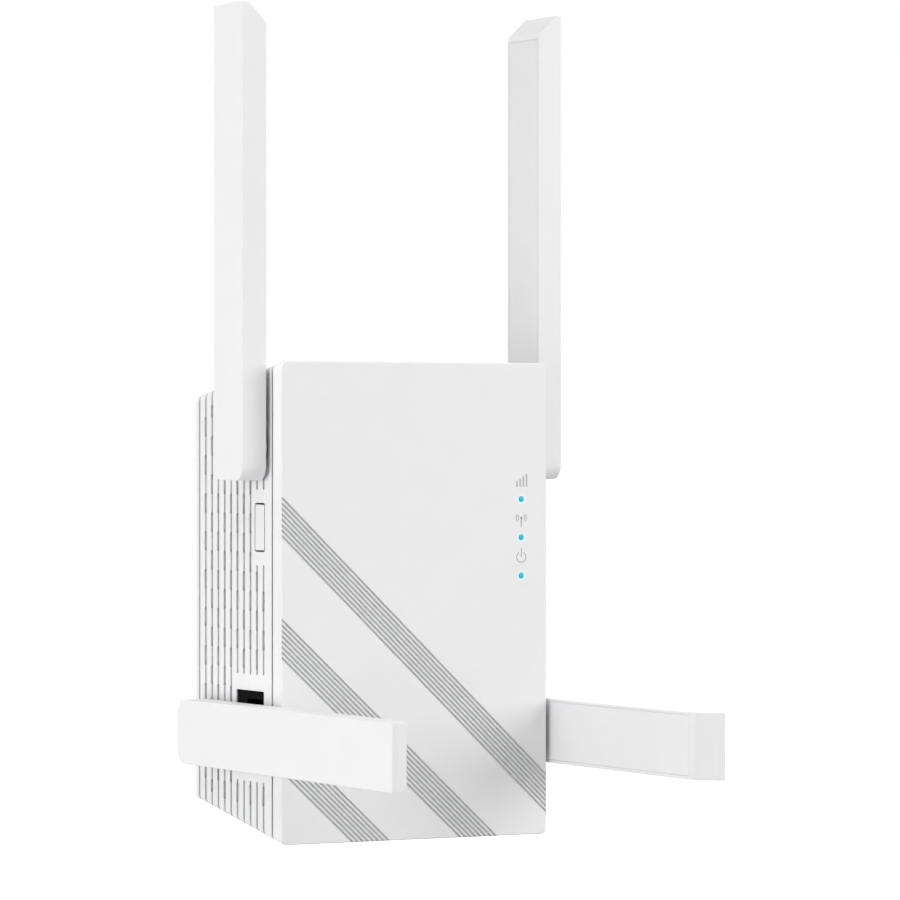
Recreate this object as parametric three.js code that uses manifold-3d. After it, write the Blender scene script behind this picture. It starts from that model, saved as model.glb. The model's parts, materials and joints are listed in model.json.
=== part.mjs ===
// Plug-in WiFi range extender with four folding paddle antennas, as separate pieces.
// Millimetres. +Z is up, +Y points into the wall, and -Y is the front.
// The origin lies midway between the two plug blades, on the plane of the rear face.
import * as THREE from "three";
import { mergeVertices } from "three/addons/utils/BufferGeometryUtils.js";
import Module from "manifold-3d";

const wasm = await Module();
wasm.setup();

// Driving dimensions -------------------------------------------------------------------

// Body: a box whose top and bottom faces close in towards the wall.
const BODY_WIDTH = 62;
const BODY_FRONT = -41.5;
const BODY_TOP = 25;
const BODY_BOTTOM = -74;
const TAPER = 0.17;
const WALL = 1.8;
const EDGE_RADIUS = 1.6;
const INNER_RADIUS = 0.8;
const SIDE = BODY_WIDTH / 2;
const INNER_SIDE = SIDE - WALL;
const FRONT_CHAMFER = 0.4;
const REAR_CHAMFER = 0.4;

// The front cover overlaps a tongue on the housing, and an open seam shows between them.
const COVER_REAR = -37.45;
const HOUSING_FRONT = -36.75;
const TONGUE_FRONT = -38.6;
const TONGUE_INSET = 0.9;
const TONGUE_PLAY = 0.1;
const FRONT_INNER = BODY_FRONT + WALL;

// Eleven shallow grooves run round the housing.
const GROOVE_COUNT = 11;
const GROOVE_REARMOST = -2.15;
const GROOVE_PITCH = 3.088;
const GROOVE_WIDTH = 0.75;
const GROOVE_DEPTH = 0.5;

// Vent slots through the grooves, a little wider than them and staggered like bricks.
const VENT_TOP = 17.55;
const VENT_ROWS = 21;
const VENT_LENGTH = 4;
const VENT_WIDTH = 0.95;
const VENT_MARGIN = 3.3;
const VENT_HINGE_DISTANCE = 7;

// Smooth pads on the left side, round the button and round the network socket.
const BUTTON_PAD = { front: -35, rear: -28.4, low: -16.9, high: -1.5 };
const PORT_PAD = { front: -35, rear: -19.2, low: -61.6, high: -39.7 };

// Three bands of fine diagonal grooves on the front face, each with its own slope.
const STRIPE_COUNT = 8;
const STRIPE_PITCH = 1.1;
const STRIPE_WIDTH = 0.45;
const STRIPE_DEPTH = 0.45;
const STRIPE_MARGIN = 0.15;
const BANDS = [
  { start: -2.97, slope: 0.947 },
  { start: -27.87, slope: 0.924 },
  { start: -51.05, slope: 0.928 },
];

// Button and network socket in the left side.
const BUTTON = { y: -31.25, z: -9.2, width: 4.85, height: 10.05, gap: 0.23, radius: 0.7 };
const PORT = { front: -33.25, rear: -20.2, low: -58.35, high: -42.95 };

// Indicator lamps near the right edge of the front.
const LAMP_X = 24.9;
const LAMP_HEIGHTS = [-3.6, -11.6, -19.6];
const LAMP_RADIUS = 0.55;

// Plug: two parallel flat blades.
const BLADE_SPACING = 12.7;
const BLADE_THICKNESS = 1.5;
const BLADE_HEIGHT = 6.3;
const BLADE_LENGTH = 17;
const BLADE_TAIL = -4.2;
const BLADE_GAP = 0.05;
const CARRIER = { halfWidth: 12.85, halfHeight: 7.85, flange: 1.65, radius: 2 };

// Housing screws, driven from the rear into long posts of the front cover.
const POST_X = 24.5;
const POST_HEIGHTS = [14.2, -62.5];
const POST_RADIUS = 2.5;
const POST_REAR = -8.2;
const WELL_FRONT = -8;
const SCREW_HEAD = { radius: 2.2, rear: WELL_FRONT + 3.6, slotFloor: WELL_FRONT + 2.9 };
const SCREW_SEAT = WELL_FRONT + 2;
const SHANK_RADIUS = 1.05;

// Radii of the screw's surroundings: post bore, wall of the well, its inside and its floor hole.
const POST_BORE = 1.15;
const WELL_OUTER = 3.5;
const WELL_INNER = 2.5;
const WELL_HOLE = 1.4;

// Boards.
const MAIN_BOARD = { front: -34.8, rear: -33.2, halfWidth: 26.8, low: -68, high: 19.5 };
const POWER_BOARD = { front: -7, rear: -5.4, halfWidth: 20.5, low: -58, high: 13 };

// Antennas: a flat paddle that turns on a hollow hub through the side wall.
const PADDLE_INNER = 31.95;
const PADDLE_OUTER = 37.4;
const PADDLE_WIDTH = 13.5;
const PADDLE_LENGTH = 98;
const PADDLE_ROOT_RADIUS = 3;
const PADDLE_EDGE = 0.5;
const PADDLE_SHELL = 1.2;
const TIP_FLAT = 1.3;
const PADDLE_COVER = 0.9;
const HUB_RADIUS = 3.6;
const HUB_BORE = 1.5;
const HUB_CLEARANCE = 0.12;
const ANTENNAS = [
  { name: "upper_left", side: -1, y: -29.6, z: 7.25, folded: false },
  { name: "upper_right", side: 1, y: -29.6, z: 7.25, folded: false },
  { name: "lower_left", side: -1, y: -11.55, z: -52.3, folded: true },
  { name: "lower_right", side: 1, y: -11.55, z: -52.3, folded: true },
];

// Facets of a full circle, and segment counts for rounded corners.
const FINE = 20;
const COARSE = 12;
const CORNER = 2;
const SMALL_CORNER = 1;

// Solid helpers ------------------------------------------------------------------------

function solidOf(geometry) {
  const plain = geometry.index ? geometry.toNonIndexed() : geometry.clone();
  plain.deleteAttribute("normal");
  plain.deleteAttribute("uv");
  const merged = mergeVertices(plain, 1e-4);
  return new wasm.Manifold(
    new wasm.Mesh({
      numProp: 3,
      vertProperties: merged.attributes.position.array,
      triVerts: new Uint32Array(merged.index.array),
    }),
  );
}

function geometryOf(solid) {
  const { numProp, vertProperties, triVerts } = solid.getMesh();
  const count = vertProperties.length / numProp;
  const positions = new Float32Array(count * 3);
  for (let i = 0; i < count; i++) {
    positions.set(vertProperties.subarray(i * numProp, i * numProp + 3), i * 3);
  }
  const indexed = new THREE.BufferGeometry();
  indexed.setAttribute("position", new THREE.BufferAttribute(positions, 3));
  indexed.setIndex(new THREE.BufferAttribute(triVerts, 1));
  const flat = indexed.toNonIndexed();
  flat.computeVertexNormals();
  return flat;
}

const join = (...solids) => solids.reduce((sum, next) => sum.add(next));
const cut = (solid, ...tools) => tools.reduce((rest, tool) => rest.subtract(tool), solid);

function box(x0, x1, y0, y1, z0, z1) {
  const geometry = new THREE.BoxGeometry(Math.abs(x1 - x0), y1 - y0, z1 - z0);
  geometry.translate((x0 + x1) / 2, (y0 + y1) / 2, (z0 + z1) / 2);
  return solidOf(geometry);
}

function outlineOf(points) {
  return new THREE.Shape(points.map(([a, b]) => new THREE.Vector2(a, b)));
}

// A rectangle from (a0, b0) to (a1, b1) with rounded corners; lowRadius rounds the b0 side.
function roundedRectangle(a0, a1, b0, b1, radius, lowRadius = radius) {
  const quarter = Math.PI / 2;
  const outline = new THREE.Shape();
  outline.moveTo(a0 + lowRadius, b0);
  outline.absarc(a1 - lowRadius, b0 + lowRadius, lowRadius, -quarter, 0, false);
  outline.absarc(a1 - radius, b1 - radius, radius, 0, quarter, false);
  outline.absarc(a0 + radius, b1 - radius, radius, quarter, 2 * quarter, false);
  outline.absarc(a0 + lowRadius, b0 + lowRadius, lowRadius, 2 * quarter, 3 * quarter, false);
  return outline;
}

function extrude(outline, depth, curveSegments) {
  return new THREE.ExtrudeGeometry(outline, { depth, bevelEnabled: false, curveSegments });
}

// Prism of a (y, z) outline along X.
function prismX(outline, x0, x1, curveSegments = CORNER) {
  const geometry = extrude(outline, Math.abs(x1 - x0), curveSegments);
  const basis = new THREE.Matrix4().makeBasis(
    new THREE.Vector3(0, 1, 0),
    new THREE.Vector3(0, 0, 1),
    new THREE.Vector3(1, 0, 0),
  );
  geometry.applyMatrix4(basis);
  geometry.translate(Math.min(x0, x1), 0, 0);
  return solidOf(geometry);
}

// Prism of an (x, z) outline along Y.
function prismYGeometry(outline, y0, y1, curveSegments) {
  const geometry = extrude(outline, y1 - y0, curveSegments);
  geometry.rotateX(Math.PI / 2);
  geometry.translate(0, y1, 0);
  return geometry;
}

function prismY(outline, y0, y1, curveSegments = CORNER) {
  return solidOf(prismYGeometry(outline, y0, y1, curveSegments));
}

// Prism of an (x, y) outline along Z.
function prismZ(outline, z0, z1, curveSegments = CORNER) {
  const geometry = extrude(outline, z1 - z0, curveSegments);
  geometry.translate(0, 0, z0);
  return solidOf(geometry);
}

function rodX(y, z, radius, x0, x1, segments = FINE) {
  const geometry = new THREE.CylinderGeometry(radius, radius, Math.abs(x1 - x0), segments);
  geometry.rotateZ(Math.PI / 2);
  geometry.translate((x0 + x1) / 2, y, z);
  return solidOf(geometry);
}

function rodY(x, z, radius, y0, y1, segments = COARSE) {
  const geometry = new THREE.CylinderGeometry(radius, radius, y1 - y0, segments);
  geometry.translate(x, (y0 + y1) / 2, z);
  return solidOf(geometry);
}

function rodZ(x, y, radius, z0, z1, segments = COARSE) {
  const geometry = new THREE.CylinderGeometry(radius, radius, z1 - z0, segments);
  geometry.rotateX(Math.PI / 2);
  geometry.translate(x, y, (z0 + z1) / 2);
  return solidOf(geometry);
}

// A round lead that follows a smooth curve through the given points.
function lead(points, radius, steps) {
  const curve = new THREE.CatmullRomCurve3(points.map((p) => new THREE.Vector3(...p)));
  const section = new THREE.Shape();
  section.absarc(0, 0, radius, 0, 2 * Math.PI, false);
  const settings = { steps, curveSegments: 3, bevelEnabled: false, extrudePath: curve };
  return solidOf(new THREE.ExtrudeGeometry(section, settings));
}

// Body shape ---------------------------------------------------------------------------

const topAt = (y) => BODY_TOP - TAPER * (y - BODY_FRONT);
const bottomAt = (y) => BODY_BOTTOM + TAPER * (y - BODY_FRONT);

// A slice of the tapered body from y0 to y1, inset from the outer skin at each end.
function bodySlice(y0, y1, radius, inset0, inset1 = inset0) {
  const high = topAt(y0) - inset0;
  const low = bottomAt(y0) + inset0;
  const outline = roundedRectangle(-SIDE + inset0, SIDE - inset0, low, high, radius);
  const segments = radius > INNER_RADIUS ? CORNER : SMALL_CORNER;
  const geometry = prismYGeometry(outline, y0, y1, segments);
  const rise = TAPER * (y1 - y0) + inset1 - inset0;
  const position = geometry.attributes.position;
  for (let i = 0; i < position.count; i++) {
    if (position.getY(i) < (y0 + y1) / 2) continue;
    const x = position.getX(i);
    const z = position.getZ(i);
    position.setX(i, x - Math.sign(x) * (inset1 - inset0));
    position.setZ(i, z - Math.sign(z - (low + high) / 2) * rise);
  }
  return solidOf(geometry);
}

function housingGrooves() {
  const rings = [];
  for (let i = 0; i < GROOVE_COUNT; i++) {
    const y = GROOVE_REARMOST - i * GROOVE_PITCH;
    const front = y - GROOVE_WIDTH / 2;
    const rear = y + GROOVE_WIDTH / 2;
    const outer = bodySlice(front, rear, EDGE_RADIUS, -1);
    const core = bodySlice(front - 0.5, rear + 0.5, INNER_RADIUS, GROOVE_DEPTH);
    rings.push(outer.subtract(core));
  }
  const pads = [BUTTON_PAD, PORT_PAD].map((pad) =>
    box(-SIDE - 2, -SIDE + 2, pad.front, pad.rear, pad.low, pad.high),
  );
  return cut(join(...rings), ...pads);
}

// Whether a slot on one side would run into a smooth pad or under an antenna's hinge.
function ventBlocked(side, y, low, high) {
  const onPad = (pad) => y > pad.front && y < pad.rear && low < pad.high && high > pad.low;
  const underHinge = ({ y: hingeY, z: hingeZ }) =>
    Math.hypot(hingeY - y, hingeZ - (low + high) / 2) < VENT_HINGE_DISTANCE;
  return (side < 0 && [BUTTON_PAD, PORT_PAD].some(onPad)) || ANTENNAS.some(underHinge);
}

// Every groove but the rearmost has slots, at every second row.
function ventSlots() {
  const slots = [];
  for (let groove = 1; groove < GROOVE_COUNT; groove++) {
    const y = GROOVE_REARMOST - groove * GROOVE_PITCH;
    const [front, rear] = [y - VENT_WIDTH / 2, y + VENT_WIDTH / 2];
    for (let row = groove % 2; row < VENT_ROWS; row += 2) {
      const start = VENT_TOP - row * VENT_LENGTH;
      const high = Math.min(start, topAt(y) - VENT_MARGIN);
      const low = Math.max(start - VENT_LENGTH, bottomAt(y) + VENT_MARGIN);
      for (const side of [-1, 1]) {
        if (ventBlocked(side, y, low, high)) continue;
        const ends = [side * (INNER_SIDE - 0.5), side * (SIDE + 1)].sort((a, b) => a - b);
        slots.push(box(...ends, front, rear, low, high));
      }
    }
  }
  return slots;
}

function mainHousing() {
  const skin = join(
    bodySlice(TONGUE_FRONT, HOUSING_FRONT + 0.5, INNER_RADIUS, TONGUE_INSET),
    bodySlice(HOUSING_FRONT, -REAR_CHAMFER, EDGE_RADIUS, 0),
    bodySlice(-REAR_CHAMFER, 0, EDGE_RADIUS, 0, REAR_CHAMFER),
  );
  const cavity = bodySlice(TONGUE_FRONT - 1, -WALL, INNER_RADIUS, WALL);
  let housing = cut(skin, cavity, housingGrooves(), join(...ventSlots()));

  const { y, z, width, height, radius } = BUTTON;
  const buttonHole = roundedRectangle(
    y - width / 2, y + width / 2, z - height / 2, z + height / 2, radius,
  );
  const plugHole = roundedRectangle(
    -CARRIER.halfWidth - 0.15, CARRIER.halfWidth + 0.15,
    -CARRIER.halfHeight - 0.15, CARRIER.halfHeight + 0.15, CARRIER.radius,
  );
  housing = cut(
    housing,
    prismX(buttonHole, -SIDE - 1, -INNER_SIDE + 1),
    box(-SIDE - 1, -INNER_SIDE + 1, PORT.front, PORT.rear, PORT.low, PORT.high),
    prismY(plugHole, -WALL - 1, 1),
  );
  for (const antenna of ANTENNAS) {
    const [x0, x1] = [antenna.side * (INNER_SIDE - 1), antenna.side * (SIDE + 1)];
    housing = housing.subtract(rodX(antenna.y, antenna.z, HUB_RADIUS + HUB_CLEARANCE, x0, x1));
  }
  for (const [postX, postZ] of postPlaces()) {
    housing = housing.add(rodY(postX, postZ, WELL_OUTER, WELL_FRONT, -1));
    housing = cut(
      housing,
      rodY(postX, postZ, WELL_INNER, SCREW_SEAT, 1),
      rodY(postX, postZ, WELL_HOLE, WELL_FRONT - 1, 0),
    );
  }
  return housing;
}

function postPlaces() {
  return POST_HEIGHTS.flatMap((z) => [[-POST_X, z], [POST_X, z]]);
}

// Fine diagonal grooves, falling to the right, kept inside the edges of the front face.
function frontStripes() {
  const lines = [];
  for (const { start, slope } of BANDS) {
    for (let i = 0; i < STRIPE_COUNT; i++) {
      const line = new THREE.BoxGeometry(160, 2 * STRIPE_DEPTH, STRIPE_WIDTH);
      line.rotateY(Math.atan(slope));
      line.translate(-SIDE, BODY_FRONT, start - i * STRIPE_PITCH);
      lines.push(solidOf(line));
    }
  }
  const limit = SIDE - STRIPE_MARGIN;
  const face = box(
    -limit, limit, BODY_FRONT - 1, BODY_FRONT + 1,
    BODY_BOTTOM + STRIPE_MARGIN, BODY_TOP - STRIPE_MARGIN,
  );
  return join(...lines).intersect(face);
}

function frontCover() {
  const chamferRear = BODY_FRONT + FRONT_CHAMFER;
  const radius = EDGE_RADIUS - FRONT_CHAMFER;
  const skin = join(
    bodySlice(BODY_FRONT, chamferRear, radius, FRONT_CHAMFER, 0),
    bodySlice(chamferRear, COVER_REAR, radius, 0),
  );
  let cover = cut(
    skin,
    bodySlice(FRONT_INNER, COVER_REAR + 1, INNER_RADIUS, WALL),
    bodySlice(
      TONGUE_FRONT - TONGUE_PLAY, COVER_REAR + 1, INNER_RADIUS, TONGUE_INSET - TONGUE_PLAY,
    ),
    frontStripes(),
  );
  for (const [x, z] of postPlaces()) {
    cover = cover.add(rodY(x, z, POST_RADIUS, FRONT_INNER - 0.3, POST_REAR));
    cover = cover.subtract(rodY(x, z, POST_BORE, -20, POST_REAR + 1));
  }
  for (const z of LAMP_HEIGHTS) {
    cover = cover.subtract(rodY(LAMP_X, z, LAMP_RADIUS + 0.1, BODY_FRONT - 1, FRONT_INNER + 1));
  }
  return cover;
}

// A screw with a flat head and a cross recess.
function housingScrew([x, z]) {
  const { radius, rear, slotFloor } = SCREW_HEAD;
  const head = rodY(x, z, radius, SCREW_SEAT + 0.05, rear);
  const shank = rodY(x, z, SHANK_RADIUS, -18, SCREW_SEAT + 0.5);
  const cross = [
    box(x - 1.3, x + 1.3, slotFloor, 0, z - 0.25, z + 0.25),
    box(x - 0.25, x + 0.25, slotFloor, 0, z - 1.3, z + 1.3),
  ];
  return cut(join(head, shank), ...cross);
}

// Plug and mains side ------------------------------------------------------------------

function bladeBox(x, grow) {
  const halfThick = BLADE_THICKNESS / 2 + grow;
  const halfHigh = BLADE_HEIGHT / 2 + grow;
  return [x - halfThick, x + halfThick, -halfHigh, halfHigh];
}

function plugCarrier() {
  const { halfWidth, halfHeight, flange, radius } = CARRIER;
  const boss = roundedRectangle(-halfWidth, halfWidth, -halfHeight, halfHeight, radius);
  const rim = roundedRectangle(
    -halfWidth - flange, halfWidth + flange, -halfHeight - flange, halfHeight + flange, radius,
  );
  let carrier = join(prismY(boss, -WALL - 0.5, 0), prismY(rim, -3.4, -WALL - 0.1));
  for (const side of [-1, 1]) {
    const [x0, x1, z0, z1] = bladeBox((side * BLADE_SPACING) / 2, BLADE_GAP);
    carrier = carrier.subtract(box(x0, x1, -5, 1, z0, z1));
  }
  return carrier;
}

// A flat blade with a chamfered tip and a round hole near its end.
function plugBlade(side) {
  const [x0, x1, z0, z1] = bladeBox((side * BLADE_SPACING) / 2, 0);
  const bevel = 1.4;
  const outline = outlineOf([
    [BLADE_TAIL, z0],
    [BLADE_LENGTH - bevel, z0],
    [BLADE_LENGTH, z0 + bevel],
    [BLADE_LENGTH, z1 - bevel],
    [BLADE_LENGTH - bevel, z1],
    [BLADE_TAIL, z1],
  ]);
  const hole = rodX(BLADE_LENGTH - 5, 0, 1.5, x0 - 1, x1 + 1, COARSE);
  return cut(prismX(outline, x0, x1), hole);
}

// A sprung fork on the power board that grips the inner end of a blade.
function bladeContact(side) {
  const x = (side * BLADE_SPACING) / 2;
  const halfSlot = BLADE_THICKNESS / 2 + BLADE_GAP;
  const fork = box(x - halfSlot - 0.5, x + halfSlot + 0.5, -5.35, -3.6, -2.2, 2.2);
  return cut(fork, box(x - halfSlot, x + halfSlot, -4.7, -3, -3, 3));
}

function powerBoard() {
  const { front, rear, halfWidth, low, high } = POWER_BOARD;
  return box(-halfWidth, halfWidth, front, rear, low, high);
}

function transformer() {
  const seat = POWER_BOARD.front - 0.05;
  const core = box(-17, 1, seat - 13, seat, -29, -23);
  const coil = prismY(roundedRectangle(-14.5, -1.5, -35.5, -16.5, 3), seat - 11.5, seat - 1.5);
  const foot = box(-16, 0, seat - 1.5, seat, -35, -17);
  return join(core, coil, foot);
}

const capacitor = (x, radius, low, high) =>
  rodZ(x, POWER_BOARD.front - 0.1 - radius, radius, low, high);

function mainsFuse() {
  const y = POWER_BOARD.front - 2.3;
  const glass = rodZ(-15, y, 1.6, -4, 6);
  const caps = [-5, 4.5].map((z) => rodZ(-15, y, 2, z, z + 2.5));
  return join(glass, ...caps);
}

function mainsRectifier() {
  const seat = POWER_BOARD.front - 0.05;
  return box(-9, -1, seat - 2.6, seat, -6, 0.5);
}

// A ring-core choke standing on its rim.
function mainsChoke() {
  const y = POWER_BOARD.front - 5.2;
  const ring = rodZ(9, y, 5, -12, -6.5, COARSE);
  return ring.subtract(rodZ(9, y, 2, -13, -5, COARSE));
}

// Main board side ----------------------------------------------------------------------

function mainBoard() {
  const { front, rear, halfWidth, low, high } = MAIN_BOARD;
  const sheet = box(-halfWidth, halfWidth, front, rear, low, high);
  const holes = postPlaces().map(([x, z]) =>
    rodY(x, z, POST_RADIUS + 0.3, front - 1, rear + 1),
  );
  return cut(sheet, ...holes);
}

// A pressed metal can, open towards the board.
function rfShield(x0, x1, z0, z1) {
  const base = MAIN_BOARD.front - 0.05;
  const can = box(x0, x1, base - 2, base, z0, z1);
  const hollow = box(x0 + 0.3, x1 - 0.3, base - 1.7, base + 1, z0 + 0.3, z1 - 0.3);
  return can.subtract(hollow);
}

const CHIP = { x0: -6, x1: 9, z0: -32, z1: -17 };

function processorChip() {
  const base = MAIN_BOARD.rear + 0.05;
  return box(CHIP.x0, CHIP.x1, base, base + 1.1, CHIP.z0, CHIP.z1);
}

function thermalPad() {
  const base = MAIN_BOARD.rear + 1.2;
  return box(CHIP.x0, CHIP.x1, base, base + 0.5, CHIP.z0, CHIP.z1);
}

function heatSink() {
  const base = MAIN_BOARD.rear + 1.75;
  const margin = 2.5;
  const [x0, x1] = [CHIP.x0 - margin, CHIP.x1 + margin];
  let sink = box(x0, x1, base, base + 7, CHIP.z0 - margin, CHIP.z1 + margin);
  const channels = 6;
  const pitch = (x1 - x0) / (channels + 0.4);
  for (let i = 0; i < channels; i++) {
    const x = x0 + pitch * (i + 0.35);
    sink = sink.subtract(box(x, x + pitch * 0.65, base + 1.5, base + 8, -60, 20));
  }
  return sink;
}

// Network socket: a plastic body with a stepped slot for the plug and its latch.
const JACK = { face: -30.7, back: -9.4, front: -33.15, rear: -20.35, low: -58.2, high: -43.1 };
const JACK_MIDDLE = (JACK.low + JACK.high) / 2;

function ethernetJack() {
  const { face, back, front, rear, low, high } = JACK;
  const flange = box(face, face + 4.2, front, rear, low, high);
  const barrel = box(face, back, front, rear - 0.35, low + 0.35, high - 0.35);
  const slot = (y0, y1, width, depth) =>
    box(face - 1, face + depth, y0, y1, JACK_MIDDLE - width / 2, JACK_MIDDLE + width / 2);
  return cut(
    join(flange, barrel),
    slot(-32.2, -25, 11.9, 15),
    slot(-25.1, -23.4, 6.2, 12),
    slot(-23.5, -21.9, 3.5, 12),
  );
}

function jackShield() {
  const { back, front, rear, low, high } = JACK;
  const x0 = JACK.face + 4.25;
  const sleeve = box(x0, back + 0.3, front, rear, low, high);
  const bore = box(x0 - 1, back + 0.05, front - 1, rear - 0.3, low + 0.3, high - 0.3);
  return sleeve.subtract(bore);
}

// Eight sprung wires that slope into the socket, on one insulating block.
function jackContacts() {
  const wires = 8;
  const pitch = 1.02;
  const x1 = JACK.face + 14.9;
  let comb = box(x1 - 2.5, x1, -32.1, -28, JACK_MIDDLE - 4.6, JACK_MIDDLE + 4.6);
  for (let i = 0; i < wires; i++) {
    const z = JACK_MIDDLE + (i - (wires - 1) / 2) * pitch;
    const wire = outlineOf([
      [x1 - 2, -28.6],
      [x1 - 11, -31.4],
      [x1 - 11, -31.8],
      [x1 - 2, -29],
    ]);
    comb = comb.add(prismZ(wire, z - 0.2, z + 0.2));
  }
  return comb;
}

function lamp(z) {
  const base = MAIN_BOARD.front - 0.05;
  return box(LAMP_X - 0.8, LAMP_X + 0.8, base - 0.8, base, z - 0.5, z + 0.5);
}

// Three clear pins on one bar carry the light of the lamps to the front face.
function lightPipe() {
  const lampTop = MAIN_BOARD.front - 0.95;
  const low = Math.min(...LAMP_HEIGHTS) - 1.4;
  const high = Math.max(...LAMP_HEIGHTS) + 1.4;
  let pipe = box(LAMP_X - 1.2, LAMP_X + 1.2, -39.5, -38.3, low, high);
  for (const z of LAMP_HEIGHTS) {
    pipe = join(
      pipe,
      rodY(LAMP_X, z, LAMP_RADIUS, BODY_FRONT + 0.02, -39, COARSE),
      rodY(LAMP_X, z, 0.9, -39, lampTop - 0.05, COARSE),
    );
  }
  return pipe;
}

// Push button and its switch -----------------------------------------------------------

const SWITCH_FACE = -26.6;

function sideButton() {
  const { y, z, width, height, gap, radius } = BUTTON;
  const shape = (grow, r) =>
    roundedRectangle(
      y - width / 2 - grow, y + width / 2 + grow, z - height / 2 - grow, z + height / 2 + grow, r,
    );
  const cap = prismX(shape(-gap, radius - gap), -SIDE, -INNER_SIDE + 0.3);
  const flange = prismX(shape(0.5, radius), -INNER_SIDE + 0.15, -INNER_SIDE + 0.95);
  const nose = rodX(y, z, 1.2, -INNER_SIDE + 0.9, -INNER_SIDE + 1.25, COARSE);
  return join(cap, flange, nose);
}

function switchPlunger() {
  return rodX(BUTTON.y, BUTTON.z, 1, -INNER_SIDE + 1.3, SWITCH_FACE + 1, COARSE);
}

function tactSwitch() {
  const { y, z } = BUTTON;
  const body = box(SWITCH_FACE, SWITCH_FACE + 3.4, MAIN_BOARD.rear + 0.05, y + 1.85, z - 3, z + 3);
  return body.subtract(rodX(y, z, 1.2, SWITCH_FACE - 1, SWITCH_FACE + 1.8, COARSE));
}

// Leads --------------------------------------------------------------------------------

// The aerial lead starts inside the hub, on the hinge axis, and ends in a plug on the board.
function antennaCable(antenna) {
  const { side, y, z, folded } = antenna;
  const board = MAIN_BOARD.rear + 0.1;
  const start = [side * 30.6, y, z];
  const plugX = side * (folded ? 17 : 15);
  const plugZ = folded ? -37 : -1;
  const middle = folded
    ? [[side * 26, y, z + 0.2], [side * 22.6, -13.5, -45], [side * 20.5, -22, -38.5]]
    : [[side * 26, y, z], [side * 20, -28.6, 4.5]];
  const end = [plugX, board + 1.1, plugZ];
  const above = [plugX + side * 0.6, board + 3.2, plugZ + (folded ? -0.3 : 0.6)];
  const wire = lead([start, ...middle, above, end], 0.8, folded ? 14 : 10);
  const plug = rodY(plugX, plugZ, 1.6, board, board + 1.6);
  return join(wire, plug);
}

// Two-core lead from the power board to the main board, with a plug at each end.
function powerLead() {
  const far = POWER_BOARD.front - 0.1;
  const near = MAIN_BOARD.rear + 0.1;
  const cores = [-1, 1].map((side) => {
    const x = 14 + side * 1.1;
    const path = [[x, far - 1, -42], [x, far - 7, -42.5], [x, near + 9, -45], [x, near + 1, -46]];
    return lead(path, 0.8, 8);
  });
  const plugs = [
    box(11, 17, far - 4, far, -44.5, -39.5),
    box(11, 17, near, near + 4, -48.5, -43.5),
  ];
  return join(...cores, ...plugs);
}

// Antennas -----------------------------------------------------------------------------
// Each paddle is drawn upright about its own hinge axis, and its group turns it into place.

const TIP = PADDLE_LENGTH - PADDLE_WIDTH / 2;
const ROOT = -PADDLE_WIDTH / 2;
const COVER_TOP = 86.2;

// An upright slab about the hinge, inset from the paddle's edges, with a rounded root.
function paddleSlab(side, x0, x1, inset, top) {
  const half = PADDLE_WIDTH / 2 - inset;
  const rootRadius = PADDLE_ROOT_RADIUS - inset;
  const outline = roundedRectangle(-half, half, ROOT + inset, top, 0.4, rootRadius);
  return prismX(outline, side * x0, side * x1);
}

function paddleForm(side) {
  const slab = paddleSlab(side, PADDLE_INNER - 1, PADDLE_OUTER + 1, 0, TIP);
  const [x0, x1] = [side * PADDLE_INNER, side * PADDLE_OUTER].sort((a, b) => a - b);
  const half = PADDLE_WIDTH / 2;
  const section = roundedRectangle(x0, x1, -half, half, PADDLE_EDGE);
  const bar = prismZ(section, ROOT - 1, TIP + 1, SMALL_CORNER);
  const reach = PADDLE_OUTER - TIP_FLAT - PADDLE_INNER;
  const wedge = outlineOf([
    [side * (PADDLE_INNER + reach + 1), TIP + 1],
    [side * (PADDLE_INNER - 1), TIP - reach - 1],
    [side * (PADDLE_INNER - 1), TIP + 1],
  ]);
  return slab.intersect(bar).subtract(prismY(wedge, -half - 1, half + 1));
}

function antennaShell(side) {
  const floor = PADDLE_OUTER - PADDLE_SHELL;
  return cut(
    paddleForm(side),
    paddleSlab(side, PADDLE_INNER - 1, PADDLE_INNER + PADDLE_COVER + 0.1, 0.6, COVER_TOP),
    paddleSlab(side, PADDLE_INNER - 1, floor, PADDLE_SHELL + 0.2, COVER_TOP - 1),
  );
}

// The inner cover carries a low round boss that rubs on the body's side.
function antennaCover(side) {
  const outer = side * PADDLE_INNER;
  const plate = paddleSlab(side, PADDLE_INNER, PADDLE_INNER + PADDLE_COVER, 0.7, COVER_TOP - 0.1);
  const boss = rodX(0, 0, 5.4, side * (SIDE + 0.15), outer + side * 0.3);
  const hole = rodX(0, 0, HUB_RADIUS + 0.15, side * SIDE, outer + side * 2);
  return cut(join(plate, boss), hole);
}

// A printed dipole: a strip with two pairs of wider arms.
function antennaRadiator(side) {
  const outline = outlineOf([
    [-1.5, 6], [1.5, 6], [1.5, 18], [4.6, 18], [4.6, 40], [1.5, 40],
    [1.5, 46], [4.6, 46], [4.6, 80], [-4.6, 80], [-4.6, 46], [-1.5, 46],
    [-1.5, 40], [-4.6, 40], [-4.6, 18], [-1.5, 18],
  ]);
  return prismX(outline, side * 34.5, side * 35.3);
}

// Hollow hinge hub: a flange inside the paddle, a shaft, and a groove for the clip.
function antennaHub(side) {
  const at = (x0, x1, radius) => rodX(0, 0, radius, side * x0, side * x1);
  const coverInner = PADDLE_INNER + PADDLE_COVER;
  return cut(
    join(
      at(27.4, 28.05, HUB_RADIUS),
      at(28.05, 28.95, HUB_RADIUS - 0.6),
      at(28.95, coverInner + 0.15, HUB_RADIUS),
      at(coverInner + 0.15, coverInner + 1.35, 5),
    ),
    at(27, 35, HUB_BORE),
  );
}

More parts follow.
